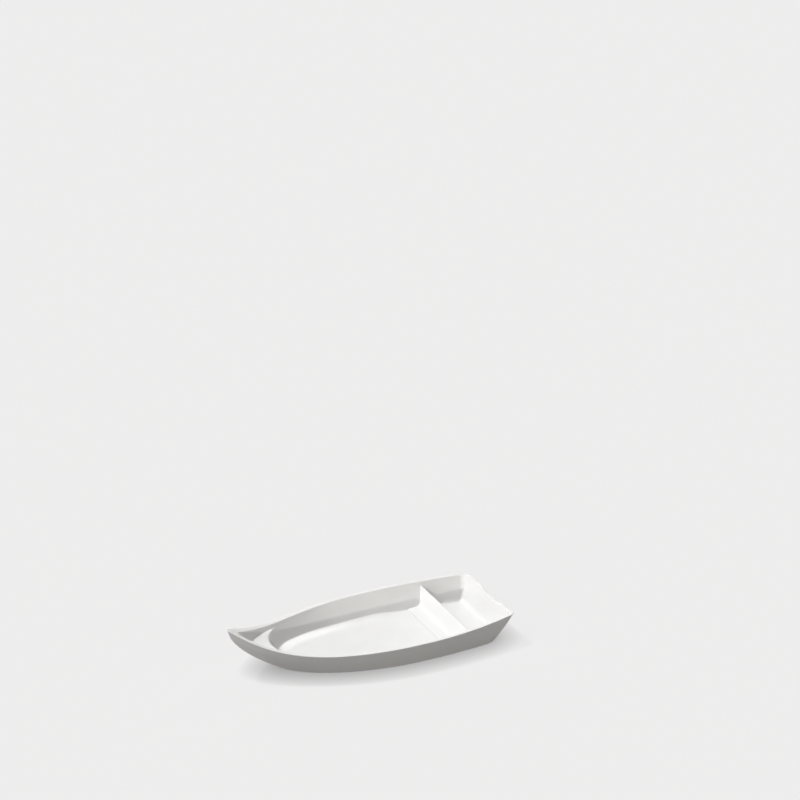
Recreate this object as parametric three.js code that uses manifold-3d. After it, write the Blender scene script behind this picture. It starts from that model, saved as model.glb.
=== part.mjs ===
// A serving boat in glossy white moulded plastic: a hull and a divider that lifts out.
// Millimetres, +Z up, +X to the bow, +Y to port. It stands on z = 0, with the origin under its middle.
import * as THREE from "three";
import { mergeVertices } from "three/addons/utils/BufferGeometryUtils.js";
import Module from "manifold-3d";

// Overall sizes of the hull
const LENGTH = 270.5; // rounded bow tip to the top of the transom
const BEAM = 122.4; // across the rim at its widest station
const MID_HEIGHT = 25; // rim above the base where it is lowest
const BOW_HEIGHT = 48.8; // rim above the base at the bow tip
const STERN_HEIGHT = 28.9; // rim above the base at the transom's shoulders
const STERN_BEAM = 96.4; // across the transom's shoulders
const WIDEST_FROM_STERN = 94.5;
const LOWEST_FROM_BOW = 109;

// Base, which the sides flare out from
const BASE_BEAM = 97.6;
const BASE_STERN_BEAM = 84.5; // across the base's aft end
const BOW_OVERHANG = 49; // bow tip beyond the base
const STERN_OVERHANG = 9.8; // transom's top edge beyond the base
const FOOT_WIDTH = 5; // rim under the base that the boat stands on
const FOOT_DEPTH = 0.8; // hollow inside that rim

// Walls and floor
const RIM_WIDTH = 3.2; // wall at the rim
const WALL_FOOT_WIDTH = 4.2; // wall where it meets the base
const NOSE_WIDTH = 8; // solid nose, along the boat
const NOSE_CUT = 4; // rounded nose short of the point where the two sides would meet
const WELL_CUT = 4.8; // the same inside the walls
const TRANSOM_WIDTH = 3.9; // transom at its top, along the boat
const TRANSOM_FOOT_WIDTH = 3; // transom where it meets the base
const FLOOR_HEIGHT = 3.6; // floor above the base
const FLOOR_RISE = 4.2; // how much higher the floor is at its bow end
const FLOOR_RISE_LENGTH = 92; // along the boat, up to the nose of the base
const MARGIN_RISE = 2.2; // how much the floor turns up to the walls
const MARGIN_WIDTH = 12; // of the strip that turns up
const MARGIN_FADE = 40; // length ahead of the divider over which the strip starts to turn up
const STERN_MARGIN = 22; // the same strip at the transom, where a wide fillet takes its place
const STERN_ROUND = 26; // stretch ahead of the transom over which that fillet takes over

// Bow deck and the well's round front end
const DECK_HEIGHT = 24.8; // deck's edge on the centre line, above the base
const DECK_SLOPE = 0.06; // rise of the deck per millimetre towards the bow
const ROUND_FROM_BOW = 62.5; // where the well's sides turn into its round end
const LEDGE_HEIGHT = 14; // the deck's line along the walls, where there is no deck
const DECK_LIP = 0.6; // half the height between the deck's edge and its back

// Scoop in the transom's top edge
const SCOOP_DEPTH = 2.4;
const SCOOP_FLAT = 20; // width of its level bottom
const SCOOP_WIDTH = 64; // width between its shoulders

// Fullness of the outlines: higher powers are fuller, and a lower bluntness gives a rounder nose
const BASE_POWER = 2.05;
const RIM_POWER = 2.93;
const BASE_BLUNTNESS = 0.62;
const RIM_BLUNTNESS = 1.1;
const STERN_POWER = 1.85;
const BOW_SHEER_POWER = 3.2;
const STERN_SHEER_POWER = 2.45;
const STEM_BULGE = 0.18; // how far the stem bows out, as a share of its overhang

// Corner radii of the outlines at the stern
const RIM_CORNER = 6;
const BASE_CORNER = 22;
const WELL_CORNER = 3;
const FLOOR_CORNER = 4;

// Roundings of the section, each the distance from the sharp corner to where the curve starts
const BASE_ROUNDING = 2.2;
const RIM_ROUNDING = 0.8;
const NOSE_ROUNDING = 2.4;
const DECK_BACK_ROUNDING = 2.5;
const DECK_EDGE_ROUNDING = 1.8;
const SIDE_FILLET = 1.2;
const STERN_FILLET = 10;
const MARGIN_ROUNDING = 6;

// Divider
const DIVIDER_FROM_STERN = 50; // middle of its top edge
const DIVIDER_HEIGHT = 22.5; // top edge above the base
const DIVIDER_EDGE = 2.4; // thickness at the top edge
const FRONT_SLOPE = 0.27; // run of the front face per millimetre of height
const BACK_SLOPE = 0.12;
const FRONT_FOOT = 12.5; // reach of the foot beyond the front face
const BACK_FOOT = 5;
const FOOT_EDGE = 0.6; // thickness of the foot at its edge
const FOOT_SLOPE = 0.1; // rise of the foot per millimetre from its edge to the face
const FOOT_FILLET = 4; // curve between the foot and the faces
const FIT = 0.3; // clearance between the divider and the hull

// Steps of the outlines, from the bow to the middle of the transom, and limits of the drawing
const BOW_STEPS = 20;
const SIDE_STEPS = 18;
const CORNER_STEPS = 6;
const TRANSOM_STEPS = 8;
const SECTION_STEPS = 3; // of each rounding
const CURVE_STEPS = 8; // of each curve in the divider's section
const WALL_LEVELS = [0.15, 0.3, 0.45, 0.6, 0.75]; // rows of the outside, as shares of the rim's height
const STEP = 0.01; // for slopes
const HALVINGS = 50; // for searches
const MERGE = 1e-3; // points nearer than this are one
const MOST_OF_SIDE = 0.45; // no rounding takes more of a side than this
const FLOOR_RING = 0.55; // the floor's middle row, as a share of the way in to the keel line

const TIP = LENGTH / 2;
const STERN = -LENGTH / 2;
const WIDEST = STERN + WIDEST_FROM_STERN;
const LOWEST = TIP - LOWEST_FROM_BOW;
const ROUND_START = TIP - ROUND_FROM_BOW;
const BASE_NOSE = TIP - BOW_OVERHANG;
const MIDDLE = (WIDEST + ROUND_START) / 2; // where the bow's steps end
const KEEL_FORE = (WIDEST + 2 * ROUND_START) / 3; // the keel line runs from the widest station to here
const FLARE = (BEAM - BASE_BEAM) / 2 / sheer(WIDEST);
const RAKE = STERN_OVERHANG / STERN_HEIGHT;
const BASE_TUCK = (1 - BASE_STERN_BEAM / BASE_BEAM) / (1 - STERN_OVERHANG / WIDEST_FROM_STERN) ** STERN_POWER;
const STERN_TUCK = 1 - STERN_BEAM / (BASE_BEAM + 2 * FLARE * STERN_HEIGHT);
const SHOULDER = DIVIDER_HEIGHT - DIVIDER_EDGE / 2; // where the divider's round top edge starts
const FOOT_EDGE_TOP = FLOOR_HEIGHT + FIT + FOOT_EDGE;
const FRONT_TOP = FOOT_EDGE_TOP + FOOT_SLOPE * FRONT_FOOT; // top of the foot at the front face
const FRONT_FACE = DIVIDER_EDGE / 2 + FRONT_SLOPE * (SHOULDER - FRONT_TOP);
const DIVIDER_REACH = STERN + DIVIDER_FROM_STERN + FRONT_FACE + FRONT_FOOT; // front edge of its foot

const clamp = (v, low, high) => Math.min(Math.max(v, low), high);
const mix = (a, b, share) => a + (b - a) * share;

function smooth(v) {
  const share = clamp(v, 0, 1);
  return share * share * (3 - 2 * share);
}

// Height of the rim at a station
function sheer(x) {
  const fore = Math.max((x - LOWEST) / LOWEST_FROM_BOW, 0);
  const aft = Math.max((LOWEST - x) / (LOWEST - STERN), 0);
  const rise = (BOW_HEIGHT - MID_HEIGHT) * fore ** BOW_SHEER_POWER;
  return MID_HEIGHT + rise + (STERN_HEIGHT - MID_HEIGHT) * aft ** STERN_SHEER_POWER;
}

// The stem: where the outline at a height ends at the bow
function noseAt(z) {
  const share = z / BOW_HEIGHT;
  return BASE_NOSE + (BOW_OVERHANG + NOSE_CUT) * (share + 4 * STEM_BULGE * share * (1 - share));
}

// The transom: where the outline at a height ends at the stern
const sternAt = (z) => STERN + RAKE * (STERN_HEIGHT - z);

// Half the breadth, at a station, of an outline at height z with this nose and this greatest half-breadth
function halfBreadth(x, z, nose, half) {
  const share = z / BOW_HEIGHT;
  const fore = clamp((x - WIDEST) / (nose - WIDEST), 0, 1);
  const aft = Math.max((WIDEST - x) / WIDEST_FROM_STERN, 0);
  const power = mix(BASE_POWER, RIM_POWER, share);
  const bluntness = mix(BASE_BLUNTNESS, RIM_BLUNTNESS, Math.min(share, 1));
  const tuck = mix(BASE_TUCK, STERN_TUCK, z / STERN_HEIGHT);
  return half * (1 - fore ** power) ** bluntness * (1 - tuck * aft ** STERN_POWER);
}

const outerHalf = (x, z) => halfBreadth(x, z, noseAt(z), BASE_BEAM / 2 + FLARE * z);

// The inside of the walls, moved in by a gap
function innerHalf(x, z, gap) {
  const wall = mix(WALL_FOOT_WIDTH, RIM_WIDTH, z / MID_HEIGHT) + gap * Math.hypot(1, FLARE);
  return halfBreadth(x, z, noseAt(z) - NOSE_WIDTH - gap, BASE_BEAM / 2 + FLARE * z - wall);
}

const floorAt = (x) => FLOOR_HEIGHT + FLOOR_RISE * smooth((x - BASE_NOSE) / FLOOR_RISE_LENGTH + 1);

// Share of the way from the plain side to the transom's fillet
const sternShare = (x) => smooth((sternAt(FLOOR_HEIGHT) + STERN_ROUND - x) / (STERN_ROUND / 2));

// Height of the walls' foot, above the floor's by the margin's rise, which starts ahead of the divider
const footAt = (x) => floorAt(x) + MARGIN_RISE * smooth((x - DIVIDER_REACH) / MARGIN_FADE);

// The station where an outline whose height changes along the boat meets the stem
function findNose(height, inset) {
  let low = WIDEST;
  let high = TIP + BOW_OVERHANG;
  for (let i = 0; i < HALVINGS; i++) {
    const x = (low + high) / 2;
    if (noseAt(height(x)) - inset > x) low = x;
    else high = x;
  }
  return low;
}

const slopeOf = (curve, x) => (curve(x + STEP) - curve(x - STEP)) / (2 * STEP);

// A curve that follows the walls and ends in the circle about the axis that meets them smoothly
function roundEnd(curve, start) {
  const y = curve(start);
  const turn = slopeOf(curve, start);
  const centre = start + y * turn;
  const radius = y * Math.hypot(1, turn);
  const half = (x) => (x < start ? curve(x) : Math.sqrt(Math.max(radius ** 2 - (x - centre) ** 2, 0)));
  return { half, nose: centre + radius };
}

// A curve whose point is rounded so that it ends short of the point by the cut
function bluntEnd(curve, point, cut) {
  let low = WIDEST;
  let high = point - STEP;
  for (let i = 0; i < HALVINGS; i++) {
    const x = (low + high) / 2;
    if (roundEnd(curve, x).nose < point - cut) low = x;
    else high = x;
  }
  return roundEnd(curve, low);
}

// Half an outline, from the bow along the port side to the middle of the transom, at the heights given
function halfLoop({ half, nose, stern, corner, height }) {
  const lean = Math.atan(slopeOf(half, stern + corner));
  const cornerX = stern + corner * (1 - Math.sin(lean));
  const cornerY = half(cornerX) - corner * Math.cos(lean);
  const pace = ((MIDDLE - cornerX) * BOW_STEPS) / SIDE_STEPS;
  const points = [];
  const add = (x, y) => points.push(new THREE.Vector3(x, Math.max(y, 0), height(x)));
  for (let i = 0; i < BOW_STEPS; i++) {
    const v = i / BOW_STEPS;
    const x = mix(nose, MIDDLE, smooth(v)) + pace * (v ** 2 - v ** 3);
    add(x, i === 0 ? 0 : half(x));
  }
  for (let i = 0; i < SIDE_STEPS; i++) {
    const x = mix(MIDDLE, cornerX, i / SIDE_STEPS);
    add(x, half(x));
  }
  for (let i = 0; i < CORNER_STEPS; i++) {
    const angle = mix(Math.PI / 2 + lean, Math.PI, i / CORNER_STEPS);
    add(stern + corner * (1 + Math.cos(angle)), cornerY + corner * Math.sin(angle));
  }
  for (let i = 0; i <= TRANSOM_STEPS; i++) add(stern, cornerY * (1 - i / TRANSOM_STEPS));
  return points;
}

// The rim dips along the transom, and the dip slides down the raked face
function scoop(points, stern, corner) {
  return points.map((p) => {
    if (p.x > stern + corner) return p;
    const share = (2 * Math.abs(p.y) - SCOOP_FLAT) / (SCOOP_WIDTH - SCOOP_FLAT);
    const depth = SCOOP_DEPTH * (1 - smooth(share));
    return new THREE.Vector3(p.x + RAKE * depth, p.y, p.z - depth);
  });
}

// An outline of the outside at a share of the rim's height
function wallLoop(level) {
  const height = (x) => level * sheer(x);
  return halfLoop({
    ...bluntEnd((x) => outerHalf(x, height(x)), findNose(height, 0), level * NOSE_CUT),
    stern: sternAt(height(STERN)),
    corner: mix(BASE_CORNER, RIM_CORNER, level),
    height,
  });
}

// The base's outline drawn in by an inset, level at height z
function baseLoop(inset, z) {
  return halfLoop({
    half: (x) => halfBreadth(x, 0, BASE_NOSE - inset, BASE_BEAM / 2 - inset),
    nose: BASE_NOSE - inset,
    stern: sternAt(0) + inset,
    corner: BASE_CORNER,
    height: () => z,
  });
}

function rimLoop(curve, inset, cut, setback) {
  const stern = STERN + setback;
  const end = bluntEnd(curve, findNose(sheer, inset), cut);
  return scoop(halfLoop({ ...end, stern, corner: RIM_CORNER, height: sheer }), stern, RIM_CORNER);
}

// Outlines of the inside, from the rim down: rim, back of the deck, edge of the deck, foot of the walls,
// edge of the level floor
function insideLoops(gap) {
  const back = (z) => sternAt(z) + mix(TRANSOM_FOOT_WIDTH, TRANSOM_WIDTH, z / STERN_HEIGHT) + gap;
  const round = roundEnd((x) => innerHalf(x, footAt(x), gap), ROUND_START);
  const level = roundEnd((x) => innerHalf(x, footAt(x), gap) - MARGIN_WIDTH, ROUND_START);
  const deckAt = (x) => DECK_HEIGHT + DECK_SLOPE * (x - round.nose);
  const line = (lift) => (x) => Math.max(LEDGE_HEIGHT, deckAt(x)) + lift;
  const top = line(DECK_LIP);
  const edge = line(-DECK_LIP);
  const rounded = roundEnd((x) => innerHalf(x, edge(x), gap), ROUND_START);
  const inset = NOSE_WIDTH + gap;
  const pointed = bluntEnd((x) => innerHalf(x, top(x), gap), findNose(top, inset), WELL_CUT);
  const well = { corner: WELL_CORNER };
  const bottom = { corner: FLOOR_CORNER };
  const aft = back(FLOOR_HEIGHT);
  return [
    rimLoop((x) => innerHalf(x, sheer(x), gap), inset, WELL_CUT, TRANSOM_WIDTH + gap),
    halfLoop({ ...well, ...pointed, stern: back(top(STERN)), height: top }),
    halfLoop({ ...well, ...rounded, stern: back(edge(STERN)), height: edge }),
    halfLoop({ ...bottom, ...round, stern: aft, height: (x) => footAt(x) + gap }),
    halfLoop({ ...bottom, ...level, stern: aft + STERN_MARGIN, height: (x) => floorAt(x) + gap }),
  ];
}

// The port half of an outline followed back along the starboard side
const mirror = (points) => [
  ...points,
  ...points
    .slice(1, -1)
    .reverse()
    .map((p) => new THREE.Vector3(p.x, -p.y, p.z)),
];

// A point of the keel line that a point of an outline looks in to
function spinePoint(p, z) {
  return new THREE.Vector3(clamp(p.x, WIDEST, KEEL_FORE), 0, z);
}

// One section with its corners rounded: each entry of the section is a point and its rounding
function roundSection(section, steps) {
  const ring = [];
  section.forEach(({ point, rounding }, i) => {
    if (!rounding) {
      ring.push(point);
      return;
    }
    const before = section[i - 1].point;
    const after = section[i + 1].point;
    const shortest = Math.min(point.distanceTo(before), point.distanceTo(after));
    const reach = Math.min(rounding, MOST_OF_SIDE * shortest);
    const from = point.clone().add(before.clone().sub(point).setLength(reach));
    const to = point.clone().add(after.clone().sub(point).setLength(reach));
    const curve = new THREE.QuadraticBezierCurve3(from, point, to);
    ring.push(...curve.getPoints(steps));
  });
  return ring;
}

// The surface through sections set round a closed outline, with its doubled points merged
function closedSurface(sections) {
  const count = sections.length;
  const rows = sections[0].length;
  const positions = sections.flatMap((section) => section.flatMap((p) => [p.x, p.y, p.z]));
  const index = [];
  for (let i = 0; i < count; i++) {
    const here = i * rows;
    const next = ((i + 1) % count) * rows;
    for (let r = 0; r < rows - 1; r++) {
      index.push(here + r, next + r, next + r + 1);
      index.push(here + r, next + r + 1, here + r + 1);
    }
  }
  const geometry = new THREE.BufferGeometry();
  geometry.setAttribute("position", new THREE.Float32BufferAttribute(positions, 3));
  geometry.setIndex(index);
  const merged = mergeVertices(geometry, MERGE);
  const kept = [];
  for (let i = 0; i < merged.index.count; i += 3) {
    const [a, b, c] = merged.index.array.slice(i, i + 3);
    if (a !== b && b !== c && c !== a) kept.push(a, b, c);
  }
  merged.setIndex(kept);
  return merged;
}

// The part of a section inside the walls, from the rim down to the middle of the floor
function insideSection([rim, deckBack, deckEdge, foot, level]) {
  const floor = spinePoint(level, 0);
  floor.z = level.z + floorAt(floor.x) - floorAt(level.x);
  return [
    { point: rim, rounding: RIM_ROUNDING },
    { point: deckBack, rounding: DECK_BACK_ROUNDING },
    { point: deckEdge, rounding: DECK_EDGE_ROUNDING },
    { point: foot, rounding: mix(SIDE_FILLET, STERN_FILLET, sternShare(foot.x)) },
    { point: level, rounding: MARGIN_ROUNDING },
    { point: level.clone().lerp(floor, FLOOR_RING) },
    { point: floor },
  ];
}

// The rim's outer edge is rounder at the nose
const rimRounding = (x) => mix(RIM_ROUNDING, NOSE_ROUNDING, smooth((x - TIP) / NOSE_WIDTH + 1));

function hullGeometry() {
  const hollow = mirror(baseLoop(FOOT_WIDTH + FOOT_DEPTH, FOOT_DEPTH));
  const footInside = mirror(baseLoop(FOOT_WIDTH, 0));
  const base = mirror(baseLoop(0, 0));
  const walls = WALL_LEVELS.map((level) => mirror(wallLoop(level)));
  const rim = mirror(rimLoop((x) => outerHalf(x, sheer(x)), 0, NOSE_CUT, 0));
  const inside = insideLoops(0).map(mirror);
  const sections = base.map((foot, i) =>
    roundSection(
      [
        { point: spinePoint(hollow[i], FOOT_DEPTH) },
        { point: hollow[i] },
        { point: footInside[i] },
        { point: foot, rounding: BASE_ROUNDING },
        ...walls.map((wall) => ({ point: wall[i] })),
        { point: rim[i], rounding: rimRounding(rim[i].x) },
        ...insideSection(inside.map((loop) => loop[i])),
      ],
      SECTION_STEPS,
    ),
  );
  return closedSurface(sections);
}

// The room inside the hull, drawn in by the clearance, with a lid at the rim
function roomGeometry() {
  const inside = insideLoops(FIT).map(mirror);
  const sections = inside[0].map((rim, i) => {
    const lid = { point: spinePoint(rim, sheer(rim.x)) };
    const down = [lid, ...insideSection(inside.map((loop) => loop[i]))];
    return roundSection(down, SECTION_STEPS).reverse();
  });
  return closedSurface(sections);
}

// The divider's section, from its foot on the floor to its rounded top edge, carried across the boat
function dividerGeometry() {
  const radius = DIVIDER_EDGE / 2;
  const front = FRONT_FACE;
  const backTop = FOOT_EDGE_TOP + FOOT_SLOPE * BACK_FOOT;
  const back = radius + BACK_SLOPE * (SHOULDER - backTop);
  const lower = FOOT_SLOPE * FOOT_FILLET;
  const shape = new THREE.Shape();
  shape.moveTo(-back - BACK_FOOT, 0);
  shape.lineTo(front + FRONT_FOOT, 0);
  shape.lineTo(front + FRONT_FOOT, FOOT_EDGE_TOP);
  shape.lineTo(front + FOOT_FILLET, FRONT_TOP - lower);
  shape.quadraticCurveTo(front, FRONT_TOP, front - FRONT_SLOPE * FOOT_FILLET, FRONT_TOP + FOOT_FILLET);
  shape.absarc(0, SHOULDER, radius, 0, Math.PI, false);
  shape.lineTo(-back + BACK_SLOPE * FOOT_FILLET, backTop + FOOT_FILLET);
  shape.quadraticCurveTo(-back, backTop, -back - FOOT_FILLET, backTop - lower);
  shape.lineTo(-back - BACK_FOOT, FOOT_EDGE_TOP);
  const options = { depth: BEAM, bevelEnabled: false, curveSegments: CURVE_STEPS };
  const geometry = new THREE.ExtrudeGeometry(shape, options);
  geometry.rotateX(Math.PI / 2);
  geometry.translate(STERN + DIVIDER_FROM_STERN, BEAM / 2, 0);
  return geometry;
}

const wasm = await Module();
wasm.setup();

function toSolid(geometry) {
  const bare = geometry.clone();
  bare.deleteAttribute("normal");
  bare.deleteAttribute("uv");
  const merged = mergeVertices(bare, MERGE);
  return new wasm.Manifold(
    new wasm.Mesh({
      numProp: 3,
      vertProperties: merged.attributes.position.array,
      triVerts: new Uint32Array(merged.index.array),
    }),
  );
}

function toGeometry(solid) {
  const mesh = solid.getMesh();
  const geometry = new THREE.BufferGeometry();
  geometry.setAttribute("position", new THREE.BufferAttribute(mesh.vertProperties, 3));
  geometry.setIndex(new THREE.BufferAttribute(mesh.triVerts, 1));
  return geometry;
}

function glossWhite() {
  return new THREE.MeshStandardMaterial({ color: 0xf2f2ef, roughness: 0.22, metalness: 0 });
}

function makeHull() {
  const hull = new THREE.Mesh(hullGeometry(), glossWhite());
  hull.name = "hull";
  return hull;
}

// The divider is cut to the room inside the hull, so it follows the walls and floor at an even clearance
function makeDivider() {
  const fitted = toSolid(dividerGeometry()).intersect(toSolid(roomGeometry()));
  const divider = new THREE.Mesh(toGeometry(fitted), glossWhite());
  divider.name = "divider";
  return divider;
}

// Both pieces move together, so that the finished box stands on the origin
function centred(pieces) {
  const boat = new THREE.Group().add(...pieces);
  const middle = new THREE.Box3().setFromObject(boat).getCenter(new THREE.Vector3());
  pieces.forEach((piece) => piece.geometry.translate(-middle.x, 0, 0));
  return boat;
}

const boat = centred([makeHull(), makeDivider()]);

export default boat;
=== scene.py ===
# %% [markdown]
# # A glossy white serving boat
#
# This script dresses a small serving boat that is already solved as a solid model: a moulded hull and a
# divider that lifts out. Each piece is built here as one smooth surface from short formulas, so the shape can
# be read, changed and rendered at any fineness. Shapes are drawn in millimetres. Meshes, floor and camera are
# in metres.

import math

import bpy
import numpy as np
from mathutils import Matrix, Vector


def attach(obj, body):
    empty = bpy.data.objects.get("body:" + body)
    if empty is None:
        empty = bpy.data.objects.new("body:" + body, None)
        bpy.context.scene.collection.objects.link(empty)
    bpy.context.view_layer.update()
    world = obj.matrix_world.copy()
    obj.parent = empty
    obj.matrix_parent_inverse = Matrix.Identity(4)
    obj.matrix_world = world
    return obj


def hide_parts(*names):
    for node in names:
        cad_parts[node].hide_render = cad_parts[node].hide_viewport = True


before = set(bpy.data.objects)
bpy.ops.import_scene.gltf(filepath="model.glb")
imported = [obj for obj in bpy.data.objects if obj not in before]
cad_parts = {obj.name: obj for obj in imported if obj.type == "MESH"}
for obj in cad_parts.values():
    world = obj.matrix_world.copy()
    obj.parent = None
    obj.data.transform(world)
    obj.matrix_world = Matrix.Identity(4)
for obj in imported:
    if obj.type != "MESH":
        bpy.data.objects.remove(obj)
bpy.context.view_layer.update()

# %% [markdown]
# ## Sizes
#
# A boat is drawn from a few lines: the rim seen from the side (the sheer), the stem, the raked transom, and
# the outline of the base. The rest of the shape follows from them, so all its numbers are in this cell.

# %% Sizes
LENGTH, BEAM, BASE_BEAM = 270.5, 122.4, 97.6
MID_HEIGHT, BOW_HEIGHT, STERN_HEIGHT = 25.0, 48.8, 28.9
STERN_BEAM, BASE_STERN_BEAM = 96.4, 84.5
BOW_OVERHANG, STERN_OVERHANG = 49.0, 9.8
FOOT_WIDTH, FOOT_DEPTH = 5.0, 0.8
RIM_WIDTH, WALL_FOOT_WIDTH, NOSE_WIDTH = 3.2, 4.2, 8.0
TRANSOM_WIDTH, TRANSOM_FOOT_WIDTH = 3.9, 3.0
NOSE_CUT, WELL_CUT = 4.0, 4.8
FLOOR_HEIGHT, FLOOR_RISE, FLOOR_RISE_LENGTH = 3.6, 4.2, 92.0
MARGIN_RISE, MARGIN_WIDTH, MARGIN_FADE = 2.2, 12.0, 40.0
STERN_MARGIN, STERN_ROUND = 22.0, 26.0
DECK_HEIGHT, DECK_SLOPE, LEDGE_HEIGHT, DECK_LIP = 24.8, 0.06, 14.0, 0.6
SCOOP_DEPTH, SCOOP_FLAT, SCOOP_WIDTH = 2.4, 20.0, 64.0
RIM_CORNER, BASE_CORNER, WELL_CORNER, FLOOR_CORNER = 6.0, 22.0, 3.0, 4.0
SIDE_FILLET, STERN_FILLET, MARGIN_ROUNDING = 1.2, 10.0, 6.0
DIVIDER_FROM_STERN, DIVIDER_HEIGHT, DIVIDER_EDGE = 50.0, 22.5, 2.4
FRONT_SLOPE, BACK_SLOPE, FRONT_FOOT, BACK_FOOT = 0.27, 0.12, 12.5, 5.0
FOOT_EDGE, FOOT_SLOPE, FOOT_FILLET = 0.6, 0.1, 4.0
FIT = 0.3

# Roundings of corners and of the divider's ends, and the largest share of a side that one may take
HOLLOW_ROUNDING, FOOT_ROUNDING, BASE_ROUNDING = 0.35, 0.4, 2.2
RIM_ROUNDING, NOSE_ROUNDING = 0.8, 2.4
DECK_BACK_ROUNDING, DECK_EDGE_ROUNDING, DIVIDER_ROUNDING = 2.5, 1.8, 0.35
LARGEST_SHARE = 0.45

# Powers of the sheer, of the narrowing to the stern and of the bow's fullness, and the bulge of the stem
SHEER_FORE_POWER, SHEER_AFT_POWER, TUCK_POWER = 3.2, 2.45, 1.85
BASE_POWER, RIM_POWER, BASE_ROOT, RIM_ROOT = 2.05, 2.93, 0.62, 1.1
STEM_BULGE = 0.72

# Stations along the boat, and sizes that follow from those above
BEAM_FROM_STERN, LOW_FROM_TIP, ROUND_FROM_TIP = 94.5, 109.0, 62.5
TIP, STERN = LENGTH / 2, -LENGTH / 2
WIDEST, LOWEST, ROUND_START = STERN + BEAM_FROM_STERN, TIP - LOW_FROM_TIP, TIP - ROUND_FROM_TIP
BASE_NOSE = TIP - BOW_OVERHANG
MIDDLE = (WIDEST + ROUND_START) / 2
KEEL_FORE = (WIDEST + 2 * ROUND_START) / 3
RAKE = STERN_OVERHANG / STERN_HEIGHT
DIVIDER_X = STERN + DIVIDER_FROM_STERN
SHOULDER = DIVIDER_HEIGHT - DIVIDER_EDGE / 2
FRONT_TOP = FLOOR_HEIGHT + FIT + FOOT_EDGE + FOOT_SLOPE * FRONT_FOOT
DIVIDER_REACH = DIVIDER_X + DIVIDER_EDGE / 2 + FRONT_SLOPE * (SHOULDER - FRONT_TOP) + FRONT_FOOT

# Fineness: numbers of steps, and shares at which rows are drawn
STEPS = dict(bow=96, side=72, corner=20, transom=44)
DIVIDER_STEPS = dict(top=14, face=24, fillet=16, foot=10, tip=12, under=12, end=6, across=41)
ROUNDING_STEPS, HALVINGS, SMALL_STEP = 9, 50, 0.01
WALL_LEVELS = np.linspace(0.12, 0.84, 19)
BESIDE_CORNERS = 0.03, 0.97
FLOOR_ROWS, FLOOR_BLEND = 15, 3
CAP_SHARES = 0.25, 0.5, 0.75, 1.0
print("boat of", LENGTH, "by", BEAM, "by", BOW_HEIGHT, "mm, divider at", DIVIDER_X, "mm")

# %% [markdown]
# ## The lines of the boat
#
# A level outline of the hull is a full curve towards the bow, (1 - f^p)^q, and a gentle power curve towards
# the stern. Near the base the bow is blunt, near the rim it is sharp, so p and q change with height.

# %% Lines of the boat
def smooth(way):
    """A share from 0 to 1 that starts and ends level."""
    way = np.clip(way, 0, 1)
    return way * way * (3 - 2 * way)


def mix(first, second, share):
    """A value on the way from the first to the second."""
    return first + (second - first) * share


def sheer(x):
    """Height of the rim: a low middle, rising as a power of the distance towards the bow and the stern."""
    fore = np.maximum((x - LOWEST) / (TIP - LOWEST), 0) ** SHEER_FORE_POWER
    aft = np.maximum((LOWEST - x) / (LOWEST - STERN), 0) ** SHEER_AFT_POWER
    return MID_HEIGHT + (BOW_HEIGHT - MID_HEIGHT) * fore + (STERN_HEIGHT - MID_HEIGHT) * aft


FLARE = (BEAM - BASE_BEAM) / 2 / sheer(WIDEST)
BASE_TUCK = (1 - BASE_STERN_BEAM / BASE_BEAM) / (1 - STERN_OVERHANG / (WIDEST - STERN)) ** TUCK_POWER
STERN_TUCK = 1 - STERN_BEAM / (BASE_BEAM + 2 * FLARE * STERN_HEIGHT)


def nose_at(z):
    """The stem: where the outline at a height ends at the bow, a line that bows out by a parabola."""
    share = z / BOW_HEIGHT
    return BASE_NOSE + (BOW_OVERHANG + NOSE_CUT) * (share + STEM_BULGE * share * (1 - share))


def stern_at(z):
    """The transom: a straight raked line."""
    return STERN + RAKE * (STERN_HEIGHT - z)


def inner_stern_at(z):
    """The inside of the transom, which is a little thinner at its foot."""
    return stern_at(z) + mix(TRANSOM_FOOT_WIDTH, TRANSOM_WIDTH, z / STERN_HEIGHT)


def half_breadth(x, z, nose, half):
    """Half the breadth at a station of the outline at height z, with its nose and its greatest half."""
    share = z / BOW_HEIGHT
    fore = np.clip((x - WIDEST) / (nose - WIDEST), 0, 1)
    aft = np.maximum((WIDEST - x) / (WIDEST - STERN), 0)
    tuck = mix(BASE_TUCK, STERN_TUCK, z / STERN_HEIGHT)
    bow = (1 - fore ** mix(BASE_POWER, RIM_POWER, share)) ** mix(BASE_ROOT, RIM_ROOT, np.minimum(share, 1))
    return half * bow * (1 - tuck * aft**TUCK_POWER)


def outer_half(x, z):
    """Half-breadth of the outside: the base's beam widened by the flare."""
    return half_breadth(x, z, nose_at(z), BASE_BEAM / 2 + FLARE * z)


def inner_half(x, z, gap=0.0):
    """Half-breadth of the inside: the outside less a wall that thins towards the rim, less a gap."""
    wall = mix(WALL_FOOT_WIDTH, RIM_WIDTH, z / MID_HEIGHT) + gap * np.hypot(1, FLARE)
    return half_breadth(x, z, nose_at(z) - NOSE_WIDTH - gap, BASE_BEAM / 2 + FLARE * z - wall)


def floor_at(x):
    """Height of the floor, which lifts a little towards the bow."""
    return FLOOR_HEIGHT + FLOOR_RISE * smooth((x - BASE_NOSE) / FLOOR_RISE_LENGTH + 1)


def stern_share(x):
    """Share of the way from the plain side to the wide fillet at the transom."""
    return smooth((stern_at(FLOOR_HEIGHT) + STERN_ROUND - x) / (STERN_ROUND / 2))


def foot_at(x):
    """Height of the walls' foot: the floor's, raised by a strip that turns up ahead of the divider."""
    return floor_at(x) + MARGIN_RISE * smooth((x - DIVIDER_REACH) / MARGIN_FADE)


print("for each mm up, walls flare by", round(float(FLARE), 3), "and the transom by", round(RAKE, 3), "mm")

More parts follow.
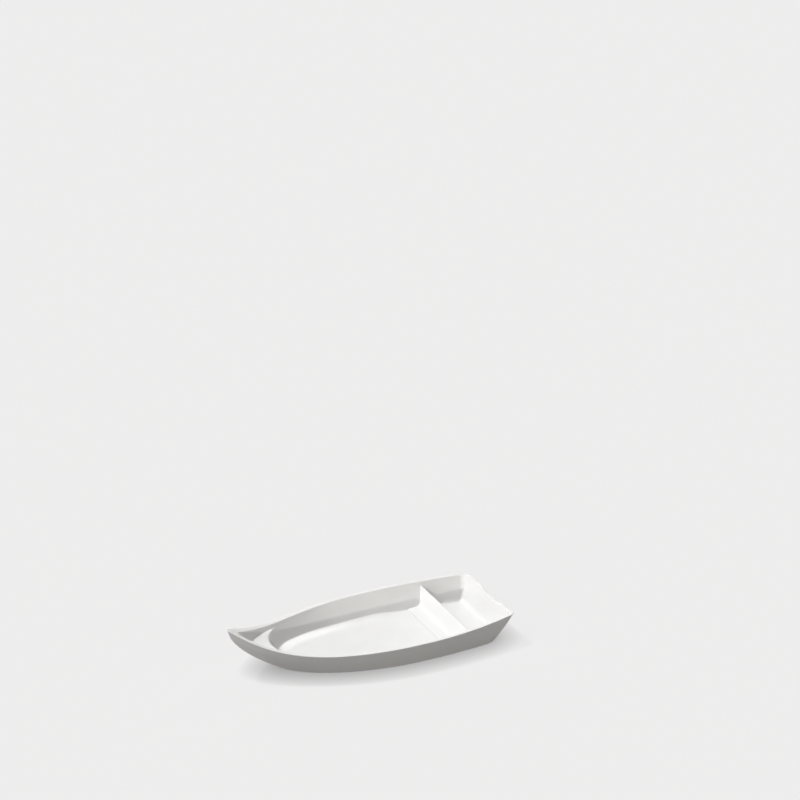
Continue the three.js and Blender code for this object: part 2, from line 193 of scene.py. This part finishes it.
# %% [markdown]
# ## Outlines with rounded ends
#
# Each outline is followed from the bow to the middle of the transom. A pointed bow is replaced by the circle
# about the axis that meets both sides smoothly, and the stern corner by an arc, so that both ends are soft.

# %% Outlines with rounded ends
def halve(low, high, is_low):
    """The place between low and high where is_low turns false, by halving the span."""
    for _ in range(HALVINGS):
        middle = (low + high) / 2
        low, high = (middle, high) if is_low(middle) else (low, middle)
    return low


def find_nose(height, inset):
    """The station where an outline whose height changes along the boat meets the stem."""
    return halve(WIDEST, TIP + BOW_OVERHANG, lambda x: nose_at(height(x)) - inset > x)


def slope_of(curve, x):
    """Slope of a curve at x, from a small step to each side."""
    return (curve(x + SMALL_STEP) - curve(x - SMALL_STEP)) / (2 * SMALL_STEP)


def round_end(curve, start):
    """A curve to the start, then the circle about the axis whose tangent there is the curve's own."""
    y, turn = curve(start), slope_of(curve, start)
    middle, radius = start + y * turn, y * np.hypot(1, turn)

    def half(x):
        circle = np.sqrt(np.maximum(radius**2 - (x - middle) ** 2, 0))
        return np.where(x < start, curve(np.minimum(x, start)), circle)

    return half, middle + radius


def blunt_end(curve, point, cut):
    """A curve whose point is rounded so that it ends short of the point by the cut."""
    start = halve(WIDEST, point - SMALL_STEP, lambda x: round_end(curve, x)[1] < point - cut)
    return round_end(curve, start)


def half_loop(end, stern, corner, height):
    """Half an outline: eased steps from the nose, even steps along the side, an arc, then the transom."""
    half, nose = end
    lean = np.arctan(slope_of(half, stern + corner))
    corner_x = stern + corner * (1 - np.sin(lean))
    corner_y = half(corner_x) - corner * np.cos(lean)
    way = np.arange(STEPS["bow"]) / STEPS["bow"]
    pace = (MIDDLE - corner_x) * STEPS["bow"] / STEPS["side"]
    bow_x = mix(nose, MIDDLE, smooth(way)) + pace * (way**2 - way**3)
    side_x = np.linspace(MIDDLE, corner_x, STEPS["side"], endpoint=False)
    angle = np.linspace(np.pi / 2 + lean, np.pi, STEPS["corner"], endpoint=False)
    across = corner_y * (1 - np.linspace(0, 1, STEPS["transom"] + 1))
    x = np.concatenate([bow_x, side_x, stern + corner * (1 + np.cos(angle)), np.full_like(across, stern)])
    y = np.concatenate([half(bow_x), half(side_x), corner_y + corner * np.sin(angle), across])
    y[0] = 0
    return np.stack([x, y, np.broadcast_to(height(x), x.shape)], 1)


def scooped(loop, stern):
    """The rim dipped along the transom: each point slides down the raked face by an eased depth."""
    share = (2 * np.abs(loop[:, 1]) - SCOOP_FLAT) / (SCOOP_WIDTH - SCOOP_FLAT)
    depth = SCOOP_DEPTH * (1 - smooth(share)) * (loop[:, 0] <= stern + RIM_CORNER)
    return loop + depth[:, None] * np.array([RAKE, 0, -1])


def rim_loop(curve, inset, cut, setback):
    """The rim's outline, at the height of the sheer."""
    end = blunt_end(curve, find_nose(sheer, inset), cut)
    return scooped(half_loop(end, STERN + setback, RIM_CORNER, sheer), STERN + setback)


def wall_loop(level):
    """An outline of the outside at a share of the rim's height."""

    def height(x):
        return level * sheer(x)

    end = blunt_end(lambda x: outer_half(x, height(x)), find_nose(height, 0), level * NOSE_CUT)
    return half_loop(end, stern_at(height(STERN)), mix(BASE_CORNER, RIM_CORNER, level), height)


def base_loop(inset, z):
    """The base's outline drawn in by an inset, level at height z."""
    end = (lambda x: half_breadth(x, 0, BASE_NOSE - inset, BASE_BEAM / 2 - inset), BASE_NOSE - inset)
    return half_loop(end, stern_at(0) + inset, BASE_CORNER, lambda x: z)


def inside_loops():
    """Outlines of the inside: rim, back of the bow deck, edge of the deck, foot of the walls, level floor."""
    round_foot = round_end(lambda x: inner_half(x, foot_at(x)), ROUND_START)
    round_level = round_end(lambda x: inner_half(x, foot_at(x)) - MARGIN_WIDTH, ROUND_START)
    aft = inner_stern_at(FLOOR_HEIGHT)

    def deck(lift):
        return lambda x: np.maximum(LEDGE_HEIGHT, DECK_HEIGHT + DECK_SLOPE * (x - round_foot[1])) + lift

    top, edge = deck(DECK_LIP), deck(-DECK_LIP)
    pointed = blunt_end(lambda x: inner_half(x, top(x)), find_nose(top, NOSE_WIDTH), WELL_CUT)
    rounded = round_end(lambda x: inner_half(x, edge(x)), ROUND_START)
    return [
        rim_loop(lambda x: inner_half(x, sheer(x)), NOSE_WIDTH, WELL_CUT, TRANSOM_WIDTH),
        half_loop(pointed, inner_stern_at(top(STERN)), WELL_CORNER, top),
        half_loop(rounded, inner_stern_at(edge(STERN)), WELL_CORNER, edge),
        half_loop(round_foot, aft, FLOOR_CORNER, foot_at),
        half_loop(round_level, aft + STERN_MARGIN, FLOOR_CORNER, floor_at),
    ]


print("half an outline has", sum(STEPS.values()) + 1, "points")

# %% [markdown]
# ## The hull as one surface
#
# A section of the boat runs from the keel line under the base, out over the foot rim, up the outside, over
# the rim and down the inside to the middle of the floor. Carried round the outline it makes one closed skin.
# Its corners become short curves, which is what gives moulded plastic its soft highlights.

# %% Hull surface
def bend(start, corner, end, share):
    """A point of the quadratic curve that leaves start and reaches end along the sides of a corner."""
    return (1 - share) ** 2 * start + 2 * share * (1 - share) * corner + share**2 * end


def corner_rows(before, point, after, rounding):
    """A corner as a quadratic curve that leaves its two sides at the rounding's distance."""
    to_before, to_after = before - point, after - point
    long_before = np.linalg.norm(to_before, axis=1, keepdims=True)
    long_after = np.linalg.norm(to_after, axis=1, keepdims=True)
    longest = LARGEST_SHARE * np.minimum(long_before, long_after)
    distance = np.minimum(np.reshape(rounding, (-1, 1)), longest)
    start, end = point + to_before / long_before * distance, point + to_after / long_after * distance
    return [bend(start, point, end, share) for share in np.linspace(0, 1, ROUNDING_STEPS)]


def rows_of(section):
    """Rows of a surface through the section's loops: rounded corners, with fill rows between them."""
    near, far = BESIDE_CORNERS
    rows = []
    for i, (loop, rounding, fill) in enumerate(section):
        if rounding is None:
            made = [loop]
        else:
            made = corner_rows(section[i - 1][0], loop, section[i + 1][0], rounding)
        if rows and fill:
            shares = np.concatenate([[near], np.linspace(0, 1, fill + 2)[1:-1], [far]])
            rows += [mix(rows[-1], made[0], share) for share in shares]
        rows += made
    return np.stack(rows, 1)


def keel(loop, z):
    """The points of the keel line that an outline's points look in to."""
    return np.stack([np.clip(loop[:, 0], WIDEST, KEEL_FORE), 0 * loop[:, 0], z + 0 * loop[:, 0]], 1)


def hull_rows():
    """The port half of the hull, a grid of points: steps round the outline by steps of the section."""
    rim, deck_back, deck_edge, foot, level = inside_loops()
    hollow = base_loop(FOOT_WIDTH + FOOT_DEPTH, FOOT_DEPTH)
    outer_rim = rim_loop(lambda x: outer_half(x, sheer(x)), 0, NOSE_CUT, 0)
    nose_share = smooth((outer_rim[:, 0] - TIP) / NOSE_WIDTH + 1)
    floor = keel(level, 0)
    floor[:, 2] = floor_at(floor[:, 0])
    # Each entry is a loop, the rounding of its corner and the number of fill rows before it
    section = [
        (keel(hollow, FOOT_DEPTH), None, 0),
        (hollow, HOLLOW_ROUNDING, 6),
        (base_loop(FOOT_WIDTH, 0), FOOT_ROUNDING, 1),
        (base_loop(0, 0), BASE_ROUNDING, 2),
        *[(wall_loop(share), None, 0) for share in WALL_LEVELS],
        (outer_rim, mix(RIM_ROUNDING, NOSE_ROUNDING, nose_share), 1),
        (rim, RIM_ROUNDING, 1),
        (deck_back, DECK_BACK_ROUNDING, 10),
        (deck_edge, DECK_EDGE_ROUNDING, 5),
        (foot, mix(SIDE_FILLET, STERN_FILLET, stern_share(foot[:, 0])), 10),
        (level, MARGIN_ROUNDING, 6),
        (floor, None, 12),
    ]
    rows = rows_of(section)
    # The rows across the floor take the floor's own height, blended in evenly over the first third of them
    last = rows[:, -FLOOR_ROWS:]
    share = np.clip(np.linspace(0, FLOOR_BLEND, FLOOR_ROWS), 0, 1)
    last[..., 2] = mix(last[..., 2], floor_at(last[..., 0]), share)
    return rows


def closed_mesh(name, rows):
    """A mesh from a grid of points, closed round its first axis; equal points become one."""
    around, along = rows.shape[:2]
    points, index = np.unique(np.round(rows.reshape(-1, 3) / 1000, 8), axis=0, return_inverse=True)
    here = index.reshape(around, along)
    there = np.roll(here, -1, 0)
    quads = np.stack([here[:, :-1], there[:, :-1], there[:, 1:], here[:, 1:]], -1).reshape(-1, 4)
    faces = [list(dict.fromkeys(quad)) for quad in quads.tolist()]
    mesh = bpy.data.meshes.new(name)
    mesh.from_pydata(points.tolist(), [], [face for face in faces if len(face) > 2])
    mesh.polygons.foreach_set("use_smooth", np.ones(len(mesh.polygons), bool))
    mesh.validate()
    made = bpy.data.objects.new(name, mesh)
    bpy.context.scene.collection.objects.link(made)
    print(name, "has", len(mesh.vertices), "points and", len(mesh.polygons), "faces")
    return made


port = hull_rows()
centre = np.array([(port[..., 0].max() + port[..., 0].min()) / 2, 0, 0])
port = port - centre
print("middle of the drawn length at", round(centre[0], 3))
starboard = port[1:-1][::-1] * np.array([1, -1, 1])
hull = closed_mesh("hull_skin", np.concatenate([port, starboard]))

# %% [markdown]
# ## The divider
#
# The divider is a drawn section, thin at the rounded top and widening into a low foot, that runs across the
# boat. Each of its points ends where the hull's wall is at that station and height, less a clearance and the
# fillet at the wall's foot, so the ends fit the flared walls without a cut.

# %% Divider surface
def side_profile(slope, foot, sign):
    """One side of the section from the top's middle down: round top, face, fillet, foot, round tip."""
    radius, tip_radius = DIVIDER_EDGE / 2, FOOT_EDGE / 2
    low = FLOOR_HEIGHT + FIT
    corner_top = low + FOOT_EDGE + FOOT_SLOPE * foot
    face = radius + slope * (SHOULDER - corner_top)
    turn = np.linspace(0, np.pi / 2 - np.arctan(slope), DIVIDER_STEPS["top"])
    top = np.stack([radius * np.sin(turn), SHOULDER + radius * np.cos(turn)], 1)
    corner = np.array([face, corner_top])
    fillet_top = corner + FOOT_FILLET * np.array([-slope, 1])
    fillet_end = corner + FOOT_FILLET * np.array([1, -FOOT_SLOPE])
    fillet = bend(fillet_top, corner, fillet_end, np.linspace(0, 1, DIVIDER_STEPS["fillet"])[:, None])
    down = mix(top[-1], fillet_top, np.linspace(0, 1, DIVIDER_STEPS["face"])[1:-1, None])
    turn = np.linspace(np.arctan(FOOT_SLOPE), np.pi, DIVIDER_STEPS["tip"])
    tip = np.stack([np.sin(turn), 1 + np.cos(turn)], 1) * tip_radius
    tip = tip + np.array([face + foot - tip_radius, low])
    out = mix(fillet_end, tip[0], np.linspace(0, 1, DIVIDER_STEPS["foot"])[1:-1, None])
    under = mix(tip[-1], np.array([0, low]), np.linspace(0, 1, DIVIDER_STEPS["under"])[1:, None])
    profile = np.concatenate([top, down, fillet, out, tip, under])
    return profile * np.array([sign, 1])


def reach(x, z):
    """Half the divider's length at a station and height: the wall less the clearance and the fillet."""
    turn = 1 - np.sqrt(np.clip((z - foot_at(x) - FIT) / SIDE_FILLET, 0, 1))
    return inner_half(x, z, FIT) - SIDE_FILLET * turn**2


def divider_rows():
    """The divider's skin: the section carried across the boat, rounded over at the ends and closed there."""
    front, back = side_profile(FRONT_SLOPE, FRONT_FOOT, 1), side_profile(BACK_SLOPE, BACK_FOOT, -1)
    loop = np.concatenate([front, back[1:-1][::-1]])
    along = np.roll(loop, -1, 0) - np.roll(loop, 1, 0)
    inward = np.stack([along[:, 1], -along[:, 0]], 1) / np.linalg.norm(along, axis=1, keepdims=True)
    opposite = np.concatenate([back, front[1:-1][::-1]])
    middle = (loop + opposite) / 2
    edge = DIVIDER_ROUNDING
    turns = np.linspace(0, np.pi / 2, DIVIDER_STEPS["end"])
    ends = [(loop + inward * edge * (1 - np.cos(turn)), edge * (1 - np.sin(turn))) for turn in turns]
    ends += [(mix(ends[-1][0], middle, share), 0.0) for share in CAP_SHARES]

    def row(points, drawn_in, share):
        x, z = points[:, 0] + DIVIDER_X, points[:, 1]
        return np.stack([x, share * (reach(x, z) - drawn_in), z], 1)

    starboard_end = [row(points, drawn_in, -1) for points, drawn_in in ends[::-1]]
    port_end = [row(points, drawn_in, 1) for points, drawn_in in ends]
    span = [row(loop, edge, share) for share in np.linspace(-1, 1, DIVIDER_STEPS["across"])[1:-1]]
    return np.stack(starboard_end + span + port_end, 1)


divider = closed_mesh("divider_skin", divider_rows() - centre)

# %% [markdown]
# ## Glossy moulded plastic
#
# Melamine is hard, white and smooth. Its gloss is never perfect: the mould leaves a faint waviness, and use
# leaves fine scratches that dull it in places. Noise in object space gives both, so they stay with the piece.
# The lowest edge, which rubs on the table, is duller still.

# %% Material
WHITE, DARKEST_TONE = (0.868, 0.868, 0.864), 0.975
REFRACTION = 1.55
CLOUD_SCALE, CLOUD_DETAIL, CLOUD_SPAN = 38, 4, (0.35, 0.65)
GRAIN_SCALE, GRAIN_DETAIL, GRAIN_SPAN = 120, 6, (0.3, 0.7)
GLOSS_ROUGHNESS, WORN_ROUGHNESS = (0.16, 0.26), 0.34
WAVE_STRENGTH, WAVE_HEIGHT = 0.05, 0.0005
HULL_SCUFF_TOP, DIVIDER_SCUFF_TOP = 0.0012, 0.0001


def add_noise(tree, place, scale, detail):
    """Noise in object space."""
    noise = tree.nodes.new("ShaderNodeTexNoise")
    noise.inputs["Scale"].default_value = scale
    noise.inputs["Detail"].default_value = detail
    tree.links.new(place.outputs["Object"], noise.inputs["Vector"])
    return noise


def add_range(tree, value, span, result):
    """A value carried from one span to another, and held at its ends."""
    node = tree.nodes.new("ShaderNodeMapRange")
    node.inputs["From Min"].default_value, node.inputs["From Max"].default_value = span
    node.inputs["To Min"].default_value, node.inputs["To Max"].default_value = result
    tree.links.new(value, node.inputs["Value"])
    return node.outputs["Result"]


def melamine(name, colour, scuff_top):
    """White gloss: a tone and a roughness that wander, a faint waviness, and wear below scuff_top."""
    material = bpy.data.materials.new(name)
    material.use_nodes = True
    tree = material.node_tree
    nodes, links = tree.nodes, tree.links
    shader = nodes["Principled BSDF"]
    shader.inputs["IOR"].default_value = REFRACTION
    place = nodes.new("ShaderNodeTexCoord")
    cloud = add_noise(tree, place, CLOUD_SCALE, CLOUD_DETAIL)
    tone = nodes.new("ShaderNodeValToRGB")
    darkest, lightest = tone.color_ramp.elements
    darkest.position, lightest.position = CLOUD_SPAN
    darkest.color = (*[c * DARKEST_TONE for c in colour], 1)
    lightest.color = (*colour, 1)
    links.new(cloud.outputs["Fac"], tone.inputs["Fac"])
    links.new(tone.outputs["Color"], shader.inputs["Base Color"])
    grain = add_noise(tree, place, GRAIN_SCALE, GRAIN_DETAIL)
    gloss = add_range(tree, grain.outputs["Fac"], GRAIN_SPAN, GLOSS_ROUGHNESS)
    split = nodes.new("ShaderNodeSeparateXYZ")
    links.new(place.outputs["Object"], split.inputs["Vector"])
    worn = add_range(tree, split.outputs["Z"], (0.0, scuff_top), (WORN_ROUGHNESS, 0.0))
    total = nodes.new("ShaderNodeMath")
    links.new(gloss, total.inputs[0])
    links.new(worn, total.inputs[1])
    links.new(total.outputs["Value"], shader.inputs["Roughness"])
    wave = nodes.new("ShaderNodeBump")
    wave.inputs["Strength"].default_value = WAVE_STRENGTH
    wave.inputs["Distance"].default_value = WAVE_HEIGHT
    links.new(cloud.outputs["Fac"], wave.inputs["Height"])
    links.new(wave.outputs["Normal"], shader.inputs["Normal"])
    print(name, "is ready")
    return material


hull.data.materials.append(melamine("hull_melamine", WHITE, HULL_SCUFF_TOP))
divider.data.materials.append(melamine("divider_melamine", WHITE, DIVIDER_SCUFF_TOP))
for piece, body in ((hull, "hull"), (divider, "divider")):
    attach(piece, body)
    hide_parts(body)

# %% [markdown]
# ## Floor, light and camera
#
# A pale floor fills the view. To the eye it mostly glows evenly, and less where the boat is close above it,
# which paints a soft contact shadow into its glow. For bounced light it is dark, so the sides of the boat
# keep their tone.
# Seven distant lamps light the boat: a key from above the far side of the bow, softer ones from the bow and
# the far side of the stern, and weak warm fills from the bow, the near side, the far side and the near stern.

# %% Floor
PALE, DIM = (0.858, 0.851, 0.851, 1), (0.06, 0.06, 0.06, 1)
FLOOR_HALF = 9.0
SHADE_REACH, SHADE_LEVEL, LIT_SHARE = 0.022, 0.4, 0.1


def by_ray(tree, for_light, for_sight):
    """One shader for bounced light, another for rays that are seen: directly, in gloss or through glass."""
    rays = tree.nodes.new("ShaderNodeLightPath")
    seen = rays.outputs["Is Camera Ray"]
    for name in ("Is Glossy Ray", "Is Transmission Ray"):
        either = tree.nodes.new("ShaderNodeMath")
        either.operation = "MAXIMUM"
        tree.links.new(seen, either.inputs[0])
        tree.links.new(rays.outputs[name], either.inputs[1])
        seen = either.outputs["Value"]
    choice = tree.nodes.new("ShaderNodeMixShader")
    tree.links.new(seen, choice.inputs["Fac"])
    tree.links.new(for_light, choice.inputs[1])
    tree.links.new(for_sight, choice.inputs[2])
    return choice.outputs["Shader"]


floor_mesh = bpy.data.meshes.new("floor")
corners = FLOOR_HALF * np.array([(-1, -1, 0), (1, -1, 0), (1, 1, 0), (-1, 1, 0)])
floor_mesh.from_pydata(corners.tolist(), [], [(0, 1, 2, 3)])
floor = bpy.data.objects.new("floor", floor_mesh)
bpy.context.scene.collection.objects.link(floor)
ground = bpy.data.materials.new("ground")
ground.use_nodes = True
nodes, links = ground.node_tree.nodes, ground.node_tree.links
nodes.remove(nodes["Principled BSDF"])
# Painted contact shadow: ambient occlusion dims the floor's glow where the boat is close above it, down to
# SHADE_LEVEL within SHADE_REACH
clear = nodes.new("ShaderNodeAmbientOcclusion")
clear.inputs["Distance"].default_value = SHADE_REACH
painted_shadow_glow = add_range(ground.node_tree, clear.outputs["AO"], (0.0, 1.0), (SHADE_LEVEL, 1.0))
glow = nodes.new("ShaderNodeEmission")
glow.inputs["Color"].default_value = PALE
links.new(painted_shadow_glow, glow.inputs["Strength"])
pale = nodes.new("ShaderNodeBsdfDiffuse")
pale.inputs["Color"].default_value = PALE
dim = nodes.new("ShaderNodeBsdfDiffuse")
dim.inputs["Color"].default_value = DIM
look = nodes.new("ShaderNodeMixShader")
look.inputs["Fac"].default_value = LIT_SHARE
links.new(glow.outputs["Emission"], look.inputs[1])
links.new(pale.outputs["BSDF"], look.inputs[2])
surface = by_ray(ground.node_tree, dim.outputs["BSDF"], look.outputs["Shader"])
links.new(surface, nodes["Material Output"].inputs["Surface"])
floor_mesh.materials.append(ground)
print("floor is", 2 * FLOOR_HALF, "m wide")

# %% Light
NEUTRAL, WARM = (1, 1, 1), (1, 0.965, 0.92)

world = bpy.data.worlds.new("studio")
bpy.context.scene.world = world
world.use_nodes = True
dark = world.node_tree.nodes["Background"]
dark.inputs["Strength"].default_value = 0
around = world.node_tree.nodes.new("ShaderNodeBackground")
around.inputs["Color"].default_value = PALE
sky = by_ray(world.node_tree, dark.outputs["Background"], around.outputs["Background"])
world.node_tree.links.new(sky, world.node_tree.nodes["World Output"].inputs["Surface"])


def lamp(name, azimuth, elevation, level, width, tint):
    """A distant lamp: its direction and width in degrees, its level beside full light, and its tint."""
    light = bpy.data.lights.new(name, "SUN")
    light.energy, light.angle, light.color = level * math.pi, math.radians(width), tint
    made = bpy.data.objects.new(name, light)
    turn, rise = math.radians(azimuth), math.radians(elevation)
    toward = Vector((math.cos(rise) * math.cos(turn), math.cos(rise) * math.sin(turn), math.sin(rise)))
    made.rotation_euler = toward.to_track_quat("Z", "Y").to_euler()
    bpy.context.scene.collection.objects.link(made)
    print(name, "shines from", azimuth, "round and", elevation, "up")


lamp("key", 315, 57, 0.69, 10, NEUTRAL)
lamp("bow", 0, 43, 0.28, 28, NEUTRAL)
lamp("stern", 220, 43, 0.18, 28, NEUTRAL)
lamp("bow_low", 30, 8, 0.215, 28, WARM)
lamp("front_low", 80, 7.3, 0.175, 1, WARM)
lamp("far_low", 260, 8, 0.14, 28, WARM)
lamp("front_stern", 125, 26, 0.09, 28, WARM)

# %% Camera
HEADING, PITCH = math.radians(25.12), math.radians(20.86)
CAMERA_PLACE = (0.6413, 1.4483, 0.8533)
LENS, SENSOR = 85, 36

back = Vector((math.sin(HEADING) * math.cos(PITCH), math.cos(HEADING) * math.cos(PITCH), math.sin(PITCH)))
right = Vector((-math.cos(HEADING), math.sin(HEADING), 0))
up = back.cross(right)
camera_data = bpy.data.cameras.new("camera")
camera_data.lens, camera_data.sensor_width = LENS, SENSOR
camera = bpy.data.objects.new("camera", camera_data)
axes = Matrix((right, up, back)).transposed().to_4x4()
camera.matrix_world = Matrix.Translation(CAMERA_PLACE) @ axes
bpy.context.scene.collection.objects.link(camera)
bpy.context.scene.camera = camera
bpy.context.scene.view_settings.view_transform = "Standard"
print("camera at", [round(v, 3) for v in camera.location])
